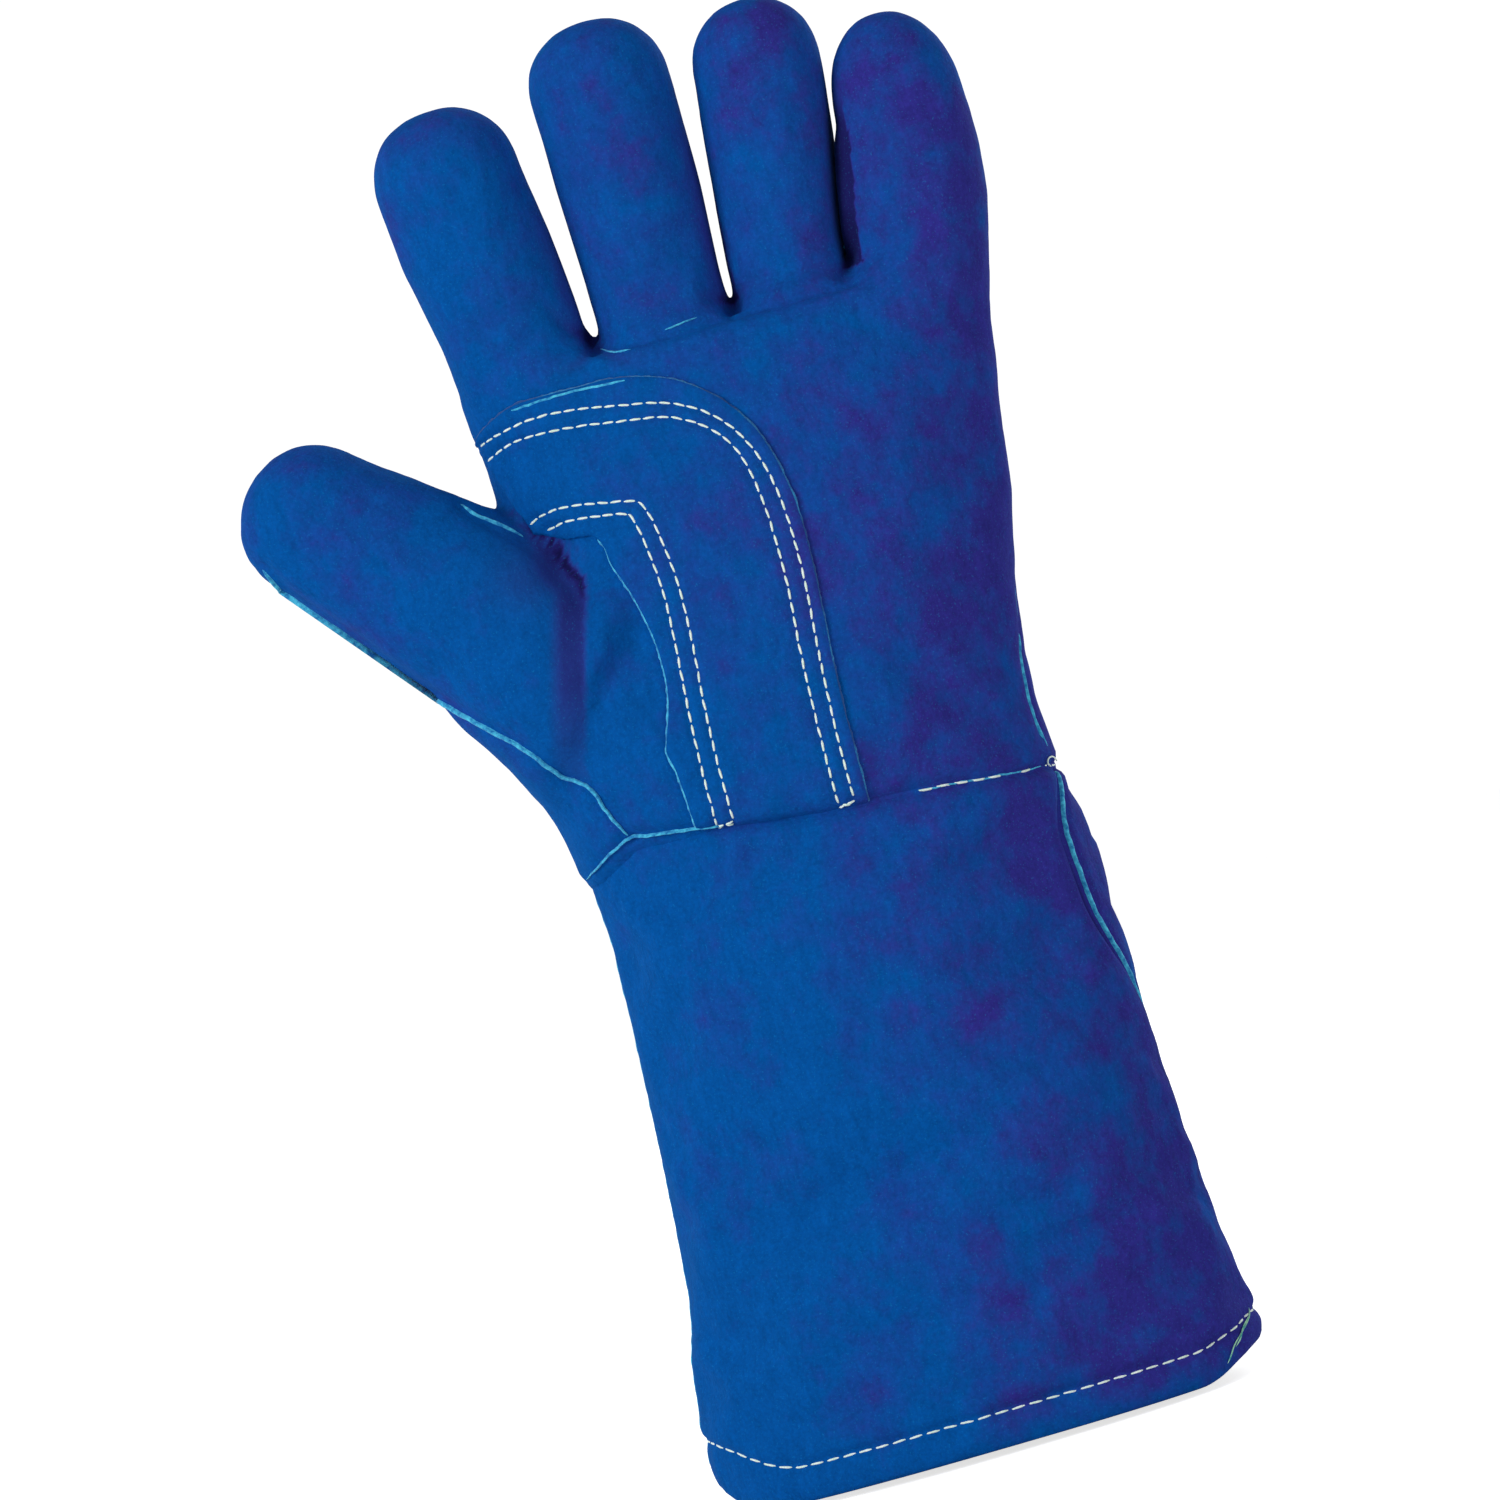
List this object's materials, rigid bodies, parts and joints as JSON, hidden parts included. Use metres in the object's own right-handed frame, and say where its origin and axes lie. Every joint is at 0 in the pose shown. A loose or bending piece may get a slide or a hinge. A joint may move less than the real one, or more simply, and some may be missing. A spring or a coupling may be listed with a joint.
{
  "type": "welding glove",
  "caption": "Left-hand gauntlet welding glove of suede split leather with a set-in thumb, a stitched palm patch, a long flared cuff and a fleece lining.",
  "frame": {"origin": "centre of the hand opening, on the plane of the cuff's rim", "axes": "+Z from the opening to the fingertips, -Y out of the palm, -X to the thumb's side"},
  "size_m": [0.1992, 0.0766, 0.3571],
  "materials": {
    "blue_split_leather": "matte suede",
    "raw_edge_leather": "matte, cut edge",
    "fleece_lining": "soft brushed",
    "thread": "matte thread"
  },
  "bodies": {
    "cuff": {"cuff_front": "blue_split_leather", "cuff_back": "blue_split_leather", "cuff_welts": "raw_edge_leather", "cuff_lining": "fleece_lining", "hem_stitching": "thread", "wrist_welt": "raw_edge_leather"},
    "hand": {"palm_leather": "blue_split_leather", "back_leather": "blue_split_leather", "hand_welts": "raw_edge_leather", "hand_lining": "fleece_lining", "palm_patch": "blue_split_leather", "patch_stitching": "thread"},
    "index_base": {"index_base_front": "blue_split_leather", "index_base_back": "blue_split_leather", "index_base_welts": "raw_edge_leather", "index_base_lining": "fleece_lining"},
    "index_tip": {"index_tip_front": "blue_split_leather", "index_tip_back": "blue_split_leather", "index_tip_welt": "raw_edge_leather", "index_tip_lining": "fleece_lining"},
    "middle_base": {"middle_base_front": "blue_split_leather", "middle_base_back": "blue_split_leather", "middle_base_welts": "raw_edge_leather", "middle_base_lining": "fleece_lining"},
    "middle_tip": {"middle_tip_front": "blue_split_leather", "middle_tip_back": "blue_split_leather", "middle_tip_welt": "raw_edge_leather", "middle_tip_lining": "fleece_lining"},
    "ring_base": {"ring_base_front": "blue_split_leather", "ring_base_back": "blue_split_leather", "ring_base_welts": "raw_edge_leather", "ring_base_lining": "fleece_lining"},
    "ring_tip": {"ring_tip_front": "blue_split_leather", "ring_tip_back": "blue_split_leather", "ring_tip_welt": "raw_edge_leather", "ring_tip_lining": "fleece_lining"},
    "little_base": {"little_base_front": "blue_split_leather", "little_base_back": "blue_split_leather", "little_base_welts": "raw_edge_leather", "little_base_lining": "fleece_lining"},
    "little_tip": {"little_tip_front": "blue_split_leather", "little_tip_back": "blue_split_leather", "little_tip_welt": "raw_edge_leather", "little_tip_lining": "fleece_lining"},
    "thumb_base": {"thumb_base_front": "blue_split_leather", "thumb_base_back": "blue_split_leather", "thumb_base_welts": "raw_edge_leather", "thumb_base_lining": "fleece_lining"},
    "thumb_tip": {"thumb_tip_front": "blue_split_leather", "thumb_tip_back": "blue_split_leather", "thumb_tip_welt": "raw_edge_leather", "thumb_tip_lining": "fleece_lining"}
  },
  "joints": [
    {"name": "wrist_bend", "type": "hinge", "parent": "cuff", "child": "hand", "pos_m": [0.0006, -0.005, 0.157], "axis": [1, 0, 0], "range_deg": [-30, 45], "deforming": ["wrist_welt"]},
    {"name": "index_knuckle", "type": "hinge", "parent": "hand", "child": "index_base", "pos_m": [-0.04107, -0.005, 0.294], "axis": [1, 0, 0], "range_deg": [-10, 70], "deforming": ["index_base_front"]},
    {"name": "index_tip_bend", "type": "hinge", "parent": "index_base", "child": "index_tip", "pos_m": [-0.04347, -0.00671, 0.31844], "axis": [1, 0, 0], "range_deg": [0, 65], "deforming": ["index_base_front"]},
    {"name": "middle_knuckle", "type": "hinge", "parent": "hand", "child": "middle_base", "pos_m": [-0.00275, -0.005, 0.296], "axis": [1, 0, 0], "range_deg": [-10, 70], "deforming": ["middle_base_front"]},
    {"name": "middle_tip_bend", "type": "hinge", "parent": "middle_base", "child": "middle_tip", "pos_m": [-0.00266, -0.00688, 0.32293], "axis": [1, 0, 0], "range_deg": [0, 65], "deforming": ["middle_base_front"]},
    {"name": "ring_knuckle", "type": "hinge", "parent": "hand", "child": "ring_base", "pos_m": [0.03038, -0.005, 0.294], "axis": [1, 0, 0], "range_deg": [-10, 70], "deforming": ["ring_base_front"]},
    {"name": "ring_tip_bend", "type": "hinge", "parent": "ring_base", "child": "ring_tip", "pos_m": [0.03293, -0.00681, 0.31994], "axis": [1, 0, 0], "range_deg": [0, 65], "deforming": ["ring_base_front"]},
    {"name": "little_knuckle", "type": "hinge", "parent": "hand", "child": "little_base", "pos_m": [0.06298, -0.005, 0.292], "axis": [1, 0, 0], "range_deg": [-10, 70], "deforming": ["little_base_front"]},
    {"name": "little_tip_bend", "type": "hinge", "parent": "little_base", "child": "little_tip", "pos_m": [0.06538, -0.00643, 0.31245], "axis": [1, 0, 0], "range_deg": [0, 65], "deforming": ["little_base_front"]},
    {"name": "thumb_swing", "type": "hinge", "parent": "hand", "child": "thumb_base", "pos_m": [-0.064, -0.014, 0.238], "axis": [0.2079, 0, 0.9781], "range_deg": [-10, 40], "deforming": ["thumb_base_front"]},
    {"name": "thumb_tip_bend", "type": "hinge", "parent": "thumb_base", "child": "thumb_tip", "pos_m": [-0.09055, -0.015, 0.25079], "axis": [0.6947, 0, 0.7193], "range_deg": [0, 60], "deforming": ["thumb_base_front"]}
  ]
}
